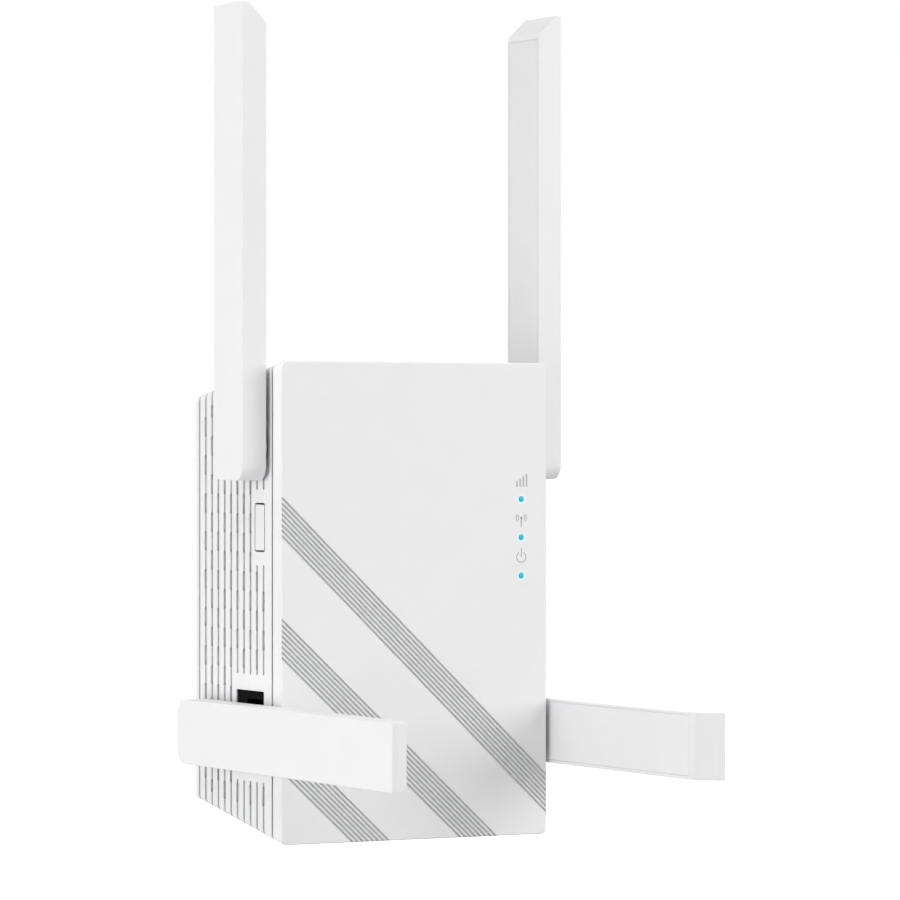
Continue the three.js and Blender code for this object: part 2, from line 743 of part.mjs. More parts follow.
function antennaClip(side) {
  const start = Math.PI / 6;
  const end = 2 * Math.PI - start;
  const ring = new THREE.Shape();
  ring.absarc(0, 0, 5.2, start, end, false);
  ring.absarc(0, 0, HUB_RADIUS - 0.45, end, start, true);
  return prismX(ring, side * 28.1, side * 28.9, COARSE / 2);
}

// Finishes -----------------------------------------------------------------------------

const finish = (color, roughness, metalness = 0) => ({ color, roughness, metalness });
const WHITE = finish(0xf1f1f0, 0.45);
const COVER_WHITE = finish(0xeaeaea, 0.5);
const BLACK = finish(0x121212, 0.5);
const STEEL = finish(0xb9bcc0, 0.35, 1);
const TIN = finish(0xc9cbcc, 0.4, 1);
const BRASS = finish(0xc9ad6a, 0.35, 1);
const GOLD = finish(0xd9b04a, 0.3, 1);
const BOARD_GREEN = finish(0x1e5b3c, 0.5);
const ALUMINIUM = finish(0xa8acb0, 0.4, 1);
const FERRITE = finish(0x3b3b3d, 0.7);
const CLEAR = finish(0x4bb4cd, 0.2);
const PAD_GREY = finish(0x8f99a3, 0.8);
const NYLON = finish(0xdcdcda, 0.5);
const CAN_BLACK = finish(0x22252a, 0.4);

// Assembly -----------------------------------------------------------------------------

const group = new THREE.Group();

function place(name, solid, look, parent = group) {
  const mesh = new THREE.Mesh(geometryOf(solid), new THREE.MeshStandardMaterial(look));
  mesh.name = name;
  parent.add(mesh);
}

function placeCase() {
  place("front_cover", frontCover(), COVER_WHITE);
  place("main_housing", mainHousing(), WHITE);
  postPlaces().forEach((where, i) => {
    place(`housing_screw_${i + 1}`, housingScrew(where), STEEL);
  });
}

function placePlug() {
  place("plug_carrier", plugCarrier(), WHITE);
  for (const [name, side] of [["left", -1], ["right", 1]]) {
    place(`plug_blade_${name}`, plugBlade(side), TIN);
    place(`blade_contact_${name}`, bladeContact(side), BRASS);
  }
}

function placePowerSupply() {
  place("power_board", powerBoard(), BOARD_GREEN);
  place("transformer", transformer(), FERRITE);
  place("input_capacitor_left", capacitor(5.5, 4, -34, -20), CAN_BLACK);
  place("input_capacitor_right", capacitor(14.5, 4, -34, -20), CAN_BLACK);
  place("output_capacitor", capacitor(-9, 4, -54, -42), CAN_BLACK);
  place("mains_fuse", mainsFuse(), TIN);
  place("mains_rectifier", mainsRectifier(), BLACK);
  place("mains_choke", mainsChoke(), FERRITE);
  place("power_lead", powerLead(), BLACK);
}

function placeRadio() {
  place("main_board", mainBoard(), BOARD_GREEN);
  place("rf_shield_upper", rfShield(-16, 14, -14, 12), TIN);
  place("rf_shield_lower", rfShield(-14, 16, -44, -20), TIN);
  place("processor_chip", processorChip(), BLACK);
  place("thermal_pad", thermalPad(), PAD_GREY);
  place("heat_sink", heatSink(), ALUMINIUM);
  ["signal", "wireless", "power"].forEach((name, i) => {
    place(`led_${name}`, lamp(LAMP_HEIGHTS[i]), CLEAR);
  });
  place("light_pipe", lightPipe(), CLEAR);
}

function placeNetworkSocket() {
  place("ethernet_jack", ethernetJack(), BLACK);
  place("jack_shield", jackShield(), STEEL);
  place("jack_contacts", jackContacts(), GOLD);
}

function placeButton() {
  place("side_button", sideButton(), WHITE);
  place("switch_plunger", switchPlunger(), BLACK);
  place("tact_switch", tactSwitch(), BLACK);
}

function placeAntenna(antenna) {
  const { name, side, y, z, folded } = antenna;
  place(`antenna_cable_${name}`, antennaCable(antenna), BLACK);
  const hinge = new THREE.Group();
  hinge.position.set(0, y, z);
  hinge.rotation.x = folded ? Math.PI / 2 : 0;
  group.add(hinge);
  place(`antenna_shell_${name}`, antennaShell(side), WHITE, hinge);
  place(`antenna_cover_${name}`, antennaCover(side), WHITE, hinge);
  place(`antenna_radiator_${name}`, antennaRadiator(side), BRASS, hinge);
  place(`antenna_hub_${name}`, antennaHub(side), NYLON, hinge);
  place(`antenna_clip_${name}`, antennaClip(side), STEEL, hinge);
}

placeCase();
placePlug();
placePowerSupply();
placeRadio();
placeNetworkSocket();
placeButton();
ANTENNAS.forEach(placeAntenna);

export default group;
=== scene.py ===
"""Visual model of a plug-in wifi range extender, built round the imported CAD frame.

Shapes are drawn in millimetres in the CAD frame and scaled to metres when a piece is finished.
+Z is up, +Y points into the wall and -Y is the front.
"""

import json
import math

import bmesh
import bpy
from mathutils import Matrix, Vector


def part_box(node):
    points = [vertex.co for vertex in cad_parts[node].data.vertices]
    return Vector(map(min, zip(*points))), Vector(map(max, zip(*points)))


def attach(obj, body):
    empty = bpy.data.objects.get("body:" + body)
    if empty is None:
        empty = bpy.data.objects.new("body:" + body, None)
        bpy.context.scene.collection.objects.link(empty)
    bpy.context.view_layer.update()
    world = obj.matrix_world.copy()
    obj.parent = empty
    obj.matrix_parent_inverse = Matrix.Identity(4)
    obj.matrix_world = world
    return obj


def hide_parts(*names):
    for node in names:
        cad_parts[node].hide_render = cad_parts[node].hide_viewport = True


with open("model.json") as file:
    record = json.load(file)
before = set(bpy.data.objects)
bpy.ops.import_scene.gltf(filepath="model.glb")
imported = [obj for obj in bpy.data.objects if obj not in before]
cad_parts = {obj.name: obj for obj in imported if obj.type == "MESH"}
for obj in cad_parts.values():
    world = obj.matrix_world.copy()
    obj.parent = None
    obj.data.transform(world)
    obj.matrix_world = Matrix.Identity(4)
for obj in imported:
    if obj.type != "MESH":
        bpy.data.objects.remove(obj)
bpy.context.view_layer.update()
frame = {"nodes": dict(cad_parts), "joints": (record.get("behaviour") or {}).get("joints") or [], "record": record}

MM = 0.001
SIDES = {"left": -1, "right": 1}


def box_mm(node):
    """Lowest and highest corner of a CAD node in millimetres."""
    low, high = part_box(node)
    return low / MM, high / MM


def hinge_mm(antenna):
    """The hinge point of an antenna as (y, z) in millimetres."""
    for joint in frame["joints"]:
        if joint["child"] == "antenna_" + antenna:
            return joint["pos_m"][1] / MM, joint["pos_m"][2] / MM
    raise ValueError("no hinge for " + antenna)


# Driving dimensions --------------------------------------------------------------------

COVER_LOW, COVER_HIGH = box_mm("front_cover")
HOUSING_LOW, HOUSING_HIGH = box_mm("main_housing")
TAPER = 0.17
FRONT_EDGE = 0.4
SIDE = HOUSING_HIGH.x
FRONT = COVER_LOW.y
BODY_TOP = COVER_HIGH.z + TAPER * FRONT_EDGE
BODY_BOTTOM = COVER_LOW.z - TAPER * FRONT_EDGE
CORNER_RADIUS = 1.15
INNER_RADIUS = 0.5
CORNER_STEPS = 8
WALL = 1.8
REAR = 0.0

# The seam between cover and housing, with the tongue of the housing behind it.
COVER_REAR = -37.45
HOUSING_FRONT = -36.75
TONGUE_FRONT = HOUSING_LOW.y
TONGUE_INSET = 0.9
SEAM_EDGE = 0.12
REAR_EDGE = 0.35
INNER_FRONT = FRONT + WALL
COVER_EDGE = 0.42
TONGUE_PLAY = 0.1
TONGUE_EDGE = 0.15

# Grooves round the housing.
GROOVE_COUNT = 11
GROOVE_REARMOST = -2.15
GROOVE_PITCH = 3.088
GROOVE_WIDTH = 0.75
GROOVE_DEPTH = 0.42
GROOVE_LIP = 0.12
GROOVE_ROOT = 0.1
GROOVE_END = 0.3

# Vent slots, staggered like bricks along every groove but the rearmost.
VENT_TOP = 17.55
VENT_ROWS = 21
VENT_LENGTH = 4.0
VENT_WIDTH = 1.05
VENT_MARGIN = 3.3
VENT_HINGE_DISTANCE = 7.0

# Each screw sits in a well of the rear wall and bites into a post of the cover.
BOSS_RADIUS = 3.5
WELL_RADIUS = 2.5
WELL_SEAT = -6.0
WELL_FRONT = -8.0
PILOT_RADIUS = 1.4
POST_RADIUS = 2.5
POST_BORE = 1.15
HUB_BORE = 3.72

# Smooth pads on the left side: front, rear, low, high.
BUTTON_PAD = (-35.0, -28.4, -16.9, -1.5)
PORT_PAD = (-35.0, -19.2, -61.6, -39.7)
PADS = (BUTTON_PAD, PORT_PAD)

# Fine diagonal grooves on the front face.
STRIPE_COUNT = 8
STRIPE_PITCH = 1.1
STRIPE_WIDTH = 0.45
STRIPE_DEPTH = 0.45
STRIPE_MARGIN = 0.15
# Height at the left edge and slope of each band of stripes.
BANDS = ((-2.97, 0.947), (-27.87, 0.924), (-51.05, 0.928))

LAMPS = ("signal", "wireless", "power")
LAMP_HOLE = 0.65
LAMP_RADIUS = 0.55

ANTENNAS = ("upper_left", "upper_right", "lower_left", "lower_right")
SCREWS = ("housing_screw_1", "housing_screw_2", "housing_screw_3", "housing_screw_4")


def top_at(y):
    return BODY_TOP - TAPER * (y - FRONT)


def bottom_at(y):
    return BODY_BOTTOM + TAPER * (y - FRONT)


def side_of(antenna):
    return SIDES[antenna.split("_")[1]]


# Mesh helpers --------------------------------------------------------------------------


def mesh_object(name, vertices, faces):
    """A new mesh object with its faces turned outwards."""
    mesh = bpy.data.meshes.new(name)
    mesh.from_pydata(vertices, [], faces)
    made = bmesh.new()
    made.from_mesh(mesh)
    bmesh.ops.remove_doubles(made, verts=made.verts, dist=1e-5)
    bmesh.ops.recalc_face_normals(made, faces=made.faces)
    made.to_mesh(mesh)
    made.free()
    obj = bpy.data.objects.new(name, mesh)
    bpy.context.scene.collection.objects.link(obj)
    return obj


def loft(name, rings):
    """A closed solid through rings of points that all have the same count."""
    count = len(rings[0])
    vertices = [point for ring in rings for point in ring]
    faces = [list(range(count))[::-1]]
    for row in range(len(rings) - 1):
        start = row * count
        for i in range(count):
            j = (i + 1) % count
            faces.append([start + i, start + j, start + count + j, start + count + i])
    last = (len(rings) - 1) * count
    faces.append([last + i for i in range(count)])
    return mesh_object(name, vertices, faces)


def place(axis, pair, along):
    """A 3-D point from two outline coordinates and a position along an axis."""
    a, b = pair
    return {"X": (along, a, b), "Y": (a, along, b), "Z": (a, b, along)}[axis]


def prism(name, axis, outline, low, high):
    """A straight bar of an outline along an axis, as a closed solid."""
    return loft(name, [[place(axis, p, end) for p in outline] for end in (low, high)])


def bar(name, axis, outline_at, stations):
    """A closed solid through outline_at(inset) at (position, inset) stations along an axis."""
    rings = [[place(axis, p, along) for p in outline_at(inset)] for along, inset in stations]
    return loft(name, rings)


def rectangle(a0, a1, b0, b1):
    return [(a0, b0), (a1, b0), (a1, b1), (a0, b1)]


def circle(a, b, radius, steps=32):
    angles = [2 * math.pi * i / steps for i in range(steps)]
    return [(a + radius * math.cos(t), b + radius * math.sin(t)) for t in angles]


def rounded(a0, a1, b0, b1, radius, low_radius=None, steps=6):
    """A rounded rectangle; low_radius rounds the two corners at b0."""
    low_radius = radius if low_radius is None else low_radius
    corners = (
        (a1 - low_radius, b0 + low_radius, low_radius, -90),
        (a1 - radius, b1 - radius, radius, 0),
        (a0 + radius, b1 - radius, radius, 90),
        (a0 + low_radius, b0 + low_radius, low_radius, 180),
    )
    points = []
    for a, b, r, start in corners:
        for step in range(steps + 1):
            angle = math.radians(start + 90 * step / steps)
            points.append((a + r * math.cos(angle), b + r * math.sin(angle)))
    return points


def box(name, x0, x1, y0, y1, z0, z1):
    return prism(name, "Z", rectangle(x0, x1, y0, y1), z0, z1)


def rod(name, axis, a, b, radius, low, high, steps=32):
    return prism(name, axis, circle(a, b, radius, steps), min(low, high), max(low, high))


def merge(name, objects):
    """One object that holds the meshes of all the given ones."""
    made = bmesh.new()
    for obj in objects:
        made.from_mesh(obj.data)
        bpy.data.objects.remove(obj)
    mesh = bpy.data.meshes.new(name)
    made.to_mesh(mesh)
    made.free()
    merged = bpy.data.objects.new(name, mesh)
    bpy.context.scene.collection.objects.link(merged)
    return merged


def bake(obj):
    """Applies the modifiers of an object to its mesh."""
    graph = bpy.context.evaluated_depsgraph_get()
    mesh = bpy.data.meshes.new_from_object(obj.evaluated_get(graph))
    obj.modifiers.clear()
    obj.data = mesh


def boolean(obj, tool, operation):
    modifier = obj.modifiers.new("boolean", "BOOLEAN")
    modifier.operation = operation
    modifier.solver = "EXACT"
    modifier.object = tool
    bpy.context.view_layer.update()
    bake(obj)
    bpy.data.objects.remove(tool)


def cut(obj, *tools):
    for tool in tools:
        boolean(obj, tool, "DIFFERENCE")


def join(obj, *tools):
    for tool in tools:
        boolean(obj, tool, "UNION")


def bevel_edges(obj, chosen, width, segments):
    """Rounds the edges for which chosen(edge) holds."""
    made = bmesh.new()
    made.from_mesh(obj.data)
    edges = [edge for edge in made.edges if chosen(edge)]
    bmesh.ops.bevel(
        made, geom=edges, offset=width, segments=segments, profile=0.5, affect="EDGES"
    )
    made.to_mesh(obj.data)
    made.free()


def soften(obj, width, segments=2, angle=40):
    """Rounds every edge sharper than the angle."""
    modifier = obj.modifiers.new("soften", "BEVEL")
    modifier.width = width
    modifier.segments = segments
    modifier.limit_method = "ANGLE"
    modifier.angle_limit = math.radians(angle)
    modifier.use_clamp_overlap = True
    bake(obj)


def smooth_mesh(obj, angle=32):
    obj.data.shade_smooth()
    obj.data.set_sharp_from_angle(angle=math.radians(angle))
    modifier = obj.modifiers.new("normals", "WEIGHTED_NORMAL")
    modifier.keep_sharp = True
    modifier.weight = 60


def clean(obj):
    made = bmesh.new()
    made.from_mesh(obj.data)
    bmesh.ops.remove_doubles(made, verts=made.verts, dist=2e-4)
    bmesh.ops.dissolve_degenerate(made, edges=made.edges, dist=1e-4)
    made.to_mesh(obj.data)
    made.free()


def finish_piece(obj, body, material, nodes=()):
    """Scales a drawn piece to metres and puts it on its body."""
    clean(obj)
    obj.data.transform(Matrix.Scale(MM, 4))
    obj.data.materials.clear()
    obj.data.materials.append(material)
    smooth_mesh(obj)
    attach(obj, body)
    if nodes:
        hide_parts(*nodes)
    return obj


# Materials -----------------------------------------------------------------------------


class Graph:
    """Short helpers round a material's node tree."""

    def __init__(self, name):
        self.material = bpy.data.materials.new(name)
        self.material.use_nodes = True
        self.tree = self.material.node_tree
        self.shader = self.tree.nodes["Principled BSDF"]

    def node(self, kind, **values):
        made = self.tree.nodes.new(kind)
        for key, value in values.items():
            setattr(made, key, value)
        return made

    def link(self, source, target):
        self.tree.links.new(source, target)

    def put(self, target, value):
        if isinstance(value, bpy.types.NodeSocket):
            self.link(value, target)
        else:
            target.default_value = value

    def math(self, operation, a, b=0.0, clamp=False):
        made = self.node("ShaderNodeMath", operation=operation, use_clamp=clamp)
        self.put(made.inputs[0], a)
        self.put(made.inputs[1], b)
        return made.outputs[0]

    def ramp(self, value, low, high, to_low, to_high):
        made = self.node("ShaderNodeMapRange", clamp=True)
        for index, item in enumerate((value, low, high, to_low, to_high)):
            self.put(made.inputs[index], item)
        return made.outputs[0]

    def mix(self, factor, a, b):
        made = self.node("ShaderNodeMix", data_type="RGBA")
        self.put(made.inputs[0], factor)
        self.put(made.inputs[6], a)
        self.put(made.inputs[7], b)
        return made.outputs[2]

    def millimetres(self, stretch=(1, 1, 1)):
        """Object coordinates in millimetres, stretched along an axis if asked."""
        where = self.node("ShaderNodeTexCoord")
        mapping = self.node("ShaderNodeMapping")
        mapping.inputs["Scale"].default_value = [s / MM for s in stretch]
        self.link(where.outputs["Object"], mapping.inputs["Vector"])
        return mapping.outputs["Vector"]

    def noise(self, where, scale, detail=2.0):
        made = self.node("ShaderNodeTexNoise")
        self.link(where, made.inputs["Vector"])
        made.inputs["Scale"].default_value = scale
        made.inputs["Detail"].default_value = detail
        return made.outputs["Fac"]

    def edge_mask(self, radius, gain):
        """One on rounded edges, nought on flat faces; also gives the softened normal."""
        bevel = self.node("ShaderNodeBevel", samples=6)
        bevel.inputs["Radius"].default_value = radius * MM
        geometry = self.node("ShaderNodeNewGeometry")
        dot = self.node("ShaderNodeVectorMath", operation="DOT_PRODUCT")
        self.link(bevel.outputs[0], dot.inputs[0])
        self.link(geometry.outputs["Normal"], dot.inputs[1])
        turned = self.math("SUBTRACT", 1.0, dot.outputs["Value"])
        return self.math("MULTIPLY", turned, gain, clamp=True), bevel.outputs[0]

    def painted_shade_mask(self, reach):
        """Painted shade in gaps: one deep in a narrow gap, nought on open faces."""
        occlusion = self.node("ShaderNodeAmbientOcclusion", samples=6, only_local=False)
        occlusion.inputs["Distance"].default_value = reach * MM
        return self.math("POWER", self.ramp(occlusion.outputs["AO"], 0.2, 0.9, 1.0, 0.0), 1.6)


def linear(hex_colour):
    """A linear RGBA colour from an sRGB hex value."""
    parts = [(hex_colour >> shift & 255) / 255 for shift in (16, 8, 0)]
    return [c / 12.92 if c <= 0.04045 else ((c + 0.055) / 1.055) ** 2.4 for c in parts] + [1.0]


def shade(colour, factor):
    return [min(1.0, c * factor) for c in colour[:3]] + [1.0]


def surface(name, hex_colour, roughness, metallic=0.0, grain=5.0, depth=0.004, variation=0.04,
            wear=None, edge=0.12, stretch=(1, 1, 1), specular=0.5, crevice_shade=0.0):
    """A procedural finish: cloudy tone, grain in height and gloss, worn edges (on the white plastics a painted
    highlight), painted shade in crevices.
    """
    g = Graph(name)
    base = linear(hex_colour)
    where = g.millimetres(stretch)
    cloud = g.noise(where, 0.12, 3.0)
    fine = g.noise(where, grain, 3.0)
    tone = g.mix(g.ramp(cloud, 0.3, 0.7, 0.0, 1.0), shade(base, 1 - variation),
                 shade(base, 1 + variation / 2))
    mask, normal = g.edge_mask(edge, 2.5)
    wear_and_highlight = g.math("MULTIPLY", mask, g.ramp(fine, 0.3, 0.65, 0.35, 1.0))
    # Edges take the wear colour; where none is given they are painted lighter, a painted highlight.
    tone = g.mix(wear_and_highlight, tone, linear(wear) if wear is not None else shade(base, 1.12))
    # Painted shade: gaps and crevices are darkened towards black by occlusion.
    if crevice_shade:
        tone = g.mix(g.math("MULTIPLY", g.painted_shade_mask(1.25), crevice_shade), tone, shade(base, 0.05))
    gloss = g.ramp(fine, 0.25, 0.75, roughness - 0.05, roughness + 0.06)
    gloss = g.math("ADD", gloss, g.ramp(cloud, 0.3, 0.7, -0.02, 0.03))
    gloss = g.math("SUBTRACT", gloss, g.math("MULTIPLY", wear_and_highlight, 0.08))
    bump = g.node("ShaderNodeBump")
    bump.inputs["Strength"].default_value = 0.6
    bump.inputs["Distance"].default_value = depth * MM
    g.link(fine, bump.inputs["Height"])
    g.link(normal, bump.inputs["Normal"])
    g.link(tone, g.shader.inputs["Base Color"])
    g.link(gloss, g.shader.inputs["Roughness"])
    g.link(bump.outputs[0], g.shader.inputs["Normal"])
    g.shader.inputs["Metallic"].default_value = metallic
    g.shader.inputs["Specular IOR Level"].default_value = specular
    g.tone = tone
    g.where = where
    return g


def moulded(name, roughness, crevice_shade, edge=0.2):
    """White moulded plastic with a fine grain, painted shade in its crevices and a painted highlight on its edges.
    """
    return surface(name, WHITE, roughness, grain=6.0, variation=0.012, edge=edge,
                   specular=0.3, crevice_shade=crevice_shade)


def lamp_centres():
    """(x, z) of each indicator lamp."""
    centres = []
    for lamp in LAMPS:
        low, high = box_mm("led_" + lamp)
        centres.append(((low.x + high.x) / 2, (low.z + high.z) / 2))
    return centres


def paint_lamp_glow(g, reach, colour, strength):
    """A painted glow: emission and a pale cyan tint painted on the cover close round each lamp."""
    split = g.node("ShaderNodeSeparateXYZ")
    g.link(g.millimetres(), split.inputs[0])
    total = 0.0
    for x, z in lamp_centres():
        across = g.math("POWER", g.math("SUBTRACT", split.outputs[0], x), 2.0)
        up = g.math("POWER", g.math("SUBTRACT", split.outputs[2], z), 2.0)
        distance = g.math("SQRT", g.math("ADD", across, up))
        glow = g.ramp(distance, LAMP_RADIUS, reach, 1.0, 0.0)
        total = g.math("ADD", total, g.math("POWER", glow, 1.5))
    g.shader.inputs["Emission Color"].default_value = linear(colour)
    g.link(g.math("MULTIPLY", total, strength), g.shader.inputs["Emission Strength"])
    # Painted glow tint: the cover's colour turns pale cyan close round each lamp.
    glow_tint = g.math("MULTIPLY", total, 0.6, clamp=True)
    g.link(g.mix(glow_tint, g.tone, linear(0xBFE9F2)), g.shader.inputs["Base Color"])


def glowing(name, hex_colour, strength):
    """A clear light guide lit from behind, a little brighter in its middle."""
    g = surface(name, hex_colour, 0.2, grain=3.0, depth=0.001)
    facing = g.node("ShaderNodeLayerWeight")
    facing.inputs["Blend"].default_value = 0.4
    level = g.ramp(facing.outputs["Facing"], 0.0, 1.0, strength, strength * 0.7)
    g.shader.inputs["Emission Color"].default_value = linear(hex_colour)
    g.link(level, g.shader.inputs["Emission Strength"])
    return g


def board(name, hex_colour, line_colour):
    """Solder mask over printed lines, with a few bare pads."""
    g = surface(name, hex_colour, 0.35, grain=6.0, depth=0.003)
    lines = g.node("ShaderNodeTexBrick")
    g.link(g.where, lines.inputs["Vector"])
    lines.inputs["Scale"].default_value = 0.55
    lines.inputs["Mortar Size"].default_value = 0.03
    pads = g.node("ShaderNodeTexVoronoi")
    g.link(g.where, pads.inputs["Vector"])
    pads.inputs["Scale"].default_value = 0.35
    dot = g.ramp(pads.outputs["Distance"], 0.12, 0.16, 1.0, 0.0)
    tone = g.mix(lines.outputs["Fac"], g.tone, linear(line_colour))
    tone = g.mix(dot, tone, linear(0xC9A45C))
    g.link(tone, g.shader.inputs["Base Color"])
    g.link(dot, g.shader.inputs["Metallic"])
    return g


WHITE = 0xEFEFF0
# For the white plastics: roughness, strength of the painted shade in crevices, width of the painted edge
# highlight.
FINISHES = {
    "cover_plastic": moulded("cover_plastic", 0.48, 0.12, 0.3),
    "housing_plastic": moulded("housing_plastic", 0.46, 0.85),
    "button_plastic": moulded("button_plastic", 0.42, 0.9),
    "paddle_plastic": moulded("paddle_plastic", 0.45, 0.15, 0.3),
    "black_plastic": surface("black_plastic", 0x060607, 0.55, depth=0.006, wear=0x101011,
                             specular=0.06),
    "steel": surface("steel", 0xB9BCC0, 0.32, 1.0, stretch=(1, 1, 6), wear=0xE0E2E4),
    "blade_tin": surface("blade_tin", 0xC4C6C8, 0.28, 1.0, stretch=(8, 0.5, 8), wear=0xEDEEEF),
    "shield_tin": surface("shield_tin", 0xC2C4C5, 0.4, 1.0, grain=2.0, wear=0xE6E7E8),
    "spring_brass": surface("spring_brass", 0xC4A35A, 0.33, 1.0, wear=0xE9D193),
    "contact_gold": surface("contact_gold", 0xD9AE45, 0.25, 1.0, wear=0xF4DA8C),
    "circuit_board": board("circuit_board", 0x174D33, 0x23684A),
    "radiator_board": board("radiator_board", 0x8A6A2C, 0xC79A4B),
    "ferrite": surface("ferrite", 0x37373A, 0.6, depth=0.012, wear=0x5A5A5E),
    "capacitor_sleeve": surface("capacitor_sleeve", 0x1E2228, 0.3, wear=0x4A4E55),
    "fuse_glass": surface("fuse_glass", 0xCBD2D2, 0.15, 0.4, wear=0xE9EDED),
    "wire_sleeve": surface("wire_sleeve", 0x1A1A1B, 0.5, depth=0.005, wear=0x3A3A3C),
    "silicone": surface("silicone", 0x8D97A1, 0.75, depth=0.01, wear=0xA7AFB8),
    "aluminium": surface("aluminium", 0xB4B7BA, 0.35, 1.0, stretch=(1, 1, 0.1), wear=0xE0E2E4),
    "nylon": surface("nylon", 0xE9E8E4, 0.42, grain=4.0, variation=0.02),
    "lamp": glowing("lamp", 0x9CDDEB, 1.5),
    "light_guide": glowing("light_guide", 0x33A8BE, 0.25),
    "icon_ink": surface("icon_ink", 0xB8B9BA, 0.55, grain=12.0, depth=0.002, variation=0.03),
}
# Painted glow on the cover round the lamps.
paint_lamp_glow(FINISHES["cover_plastic"], 1.25, 0x9FE4F5, 0.35)


def finish(slot):
    return FINISHES[slot].material


# Body ----------------------------------------------------------------------------------

PAD_MARKS = sorted(
    mark
    for _, _, low, high in PADS
    for mark in (low - GROOVE_END, low - GROOVE_END / 3, low, high, high + GROOVE_END / 3,
                 high + GROOVE_END)
)


def pad_share(y, z):
    """How much of a groove's depth is left at (y, z) on the left side."""
    for front, rear, low, high in PADS:
        if not front < y < rear:
            continue
        outside = max(low - z, z - high, 0.0)
        if outside < GROOVE_END:
            return outside / GROOVE_END
    return 1.0


def body_ring(y, inset, groove=0.0):
    """The body's outline at y, inset from its skin; a groove's depth fades out on the pads."""
    depth = inset + groove
    half, low, high = SIDE - depth, bottom_at(y) + depth, top_at(y) - depth
    radius = max(CORNER_RADIUS - depth, INNER_RADIUS)
    outline = rounded(-half, half, low, high, radius, steps=CORNER_STEPS)
    corner = CORNER_STEPS + 1
    left = []
    for z in reversed(PAD_MARKS):
        x = -(SIDE - inset - groove * pad_share(y, z))
        left.append((x, z))
    outline[3 * corner:3 * corner] = left
    return [(x, y, z) for x, z in outline]


def quarter_round(radius, steps):
    """(along, inset) pairs of a rounded edge, from the face inwards to the side."""
    angles = [math.pi / 2 * i / steps for i in range(steps + 1)]
    return [(radius * (1 - math.cos(t)), radius * (1 - math.sin(t))) for t in angles]


def groove_profile():
    """(offset along Y, depth) pairs across one groove, with rounded lips and floor."""
    half, lip, root = GROOVE_WIDTH / 2, GROOVE_LIP, GROOVE_ROOT
    steps = 3
    side = []
    for i in range(steps + 1):
        angle = math.pi / 2 * i / steps
        along = -half - lip + lip * math.sin(angle)
        side.append((along, lip * (1 - math.cos(angle))))
    side += [(-half, GROOVE_DEPTH - root), (-half + root * 0.3, GROOVE_DEPTH - root * 0.3),
             (-half + root, GROOVE_DEPTH)]
    return side + [(-along, depth) for along, depth in reversed(side)]


def vent_blocked(side, y, low, high):
    """Whether a slot would run into a pad or lie under an antenna's hinge."""
    if side < 0:
        for front, rear, pad_low, pad_high in PADS:
            if front < y < rear and low < pad_high and high > pad_low:
                return True
    for antenna in ANTENNAS:
        hinge_y, hinge_z = hinge_mm(antenna)
        if math.hypot(hinge_y - y, hinge_z - (low + high) / 2) < VENT_HINGE_DISTANCE:
            return True
    return False


def vent_cutters():
    slots = []
    half = VENT_WIDTH / 2
    for groove in range(1, GROOVE_COUNT):
        y = GROOVE_REARMOST - groove * GROOVE_PITCH
        for row in range(groove % 2, VENT_ROWS, 2):
            start = VENT_TOP - row * VENT_LENGTH
            high = min(start, top_at(y) - VENT_MARGIN)
            low = max(start - VENT_LENGTH, bottom_at(y) + VENT_MARGIN)
            for side in SIDES.values():
                if vent_blocked(side, y, low, high):
                    continue
                x0, x1 = sorted((side * (SIDE - WALL - 0.5), side * (SIDE + 1)))
                slots.append(box("slot", x0, x1, y - half, y + half, low, high))
    return merge("slots", slots)


def screw_places():
    places = []
    for screw in SCREWS:
        low, high = box_mm(screw)
        places.append(((low.x + high.x) / 2, (low.z + high.z) / 2))
    return places


def build_housing():
    rings = [body_ring(REAR - along, inset) for along, inset in quarter_round(REAR_EDGE, 5)]
    for i in range(GROOVE_COUNT):
        centre = GROOVE_REARMOST - i * GROOVE_PITCH
        for along, depth in reversed(groove_profile()):
            rings.append(body_ring(centre + along, 0.0, depth))
    lip = [(HOUSING_FRONT + along, inset) for along, inset in quarter_round(SEAM_EDGE, 3)]
    lip = lip[::-1] + [(HOUSING_FRONT, TONGUE_INSET), (TONGUE_FRONT + TONGUE_EDGE, TONGUE_INSET),
                       (TONGUE_FRONT, TONGUE_INSET + TONGUE_EDGE), (TONGUE_FRONT, WALL),
                       (-WALL, WALL)]
    rings += [body_ring(y, inset) for y, inset in lip]
    housing = loft("housing", rings)

    for x, z in screw_places():
        join(housing, rod("boss", "Y", x, z, BOSS_RADIUS, WELL_FRONT, -1.0))
        cut(housing, rod("well", "Y", x, z, WELL_RADIUS, WELL_SEAT, 1.0),
            rod("pilot", "Y", x, z, PILOT_RADIUS, WELL_FRONT - 1, -1))
    cut(housing, vent_cutters(), button_opening(), port_opening(), plug_opening())
    for antenna in ANTENNAS:
        y, z = hinge_mm(antenna)
        side = side_of(antenna)
        ends = side * (SIDE - WALL - 1), side * (SIDE + 1)
        cut(housing, rod("hub", "X", y, z, HUB_BORE, *ends, 48))
    return finish_piece(housing, "case", finish("housing_plastic"),
                        ["main_housing"])


BUTTON_Y, BUTTON_Z = -31.25, -9.2
BUTTON_OPENING = (4.85, 10.05)
BUTTON_GAP = 0.32
BUTTON_RADIUS = 0.7
BUTTON_RIM = 0.08
BUTTON_EDGE = 0.1


def button_outline(inset):
    half_wide, half_high = (size / 2 - inset for size in BUTTON_OPENING)
    radius = max(BUTTON_RADIUS - inset, 0.3)
    return rounded(BUTTON_Y - half_wide, BUTTON_Y + half_wide, BUTTON_Z - half_high,
                   BUTTON_Z + half_high, radius)


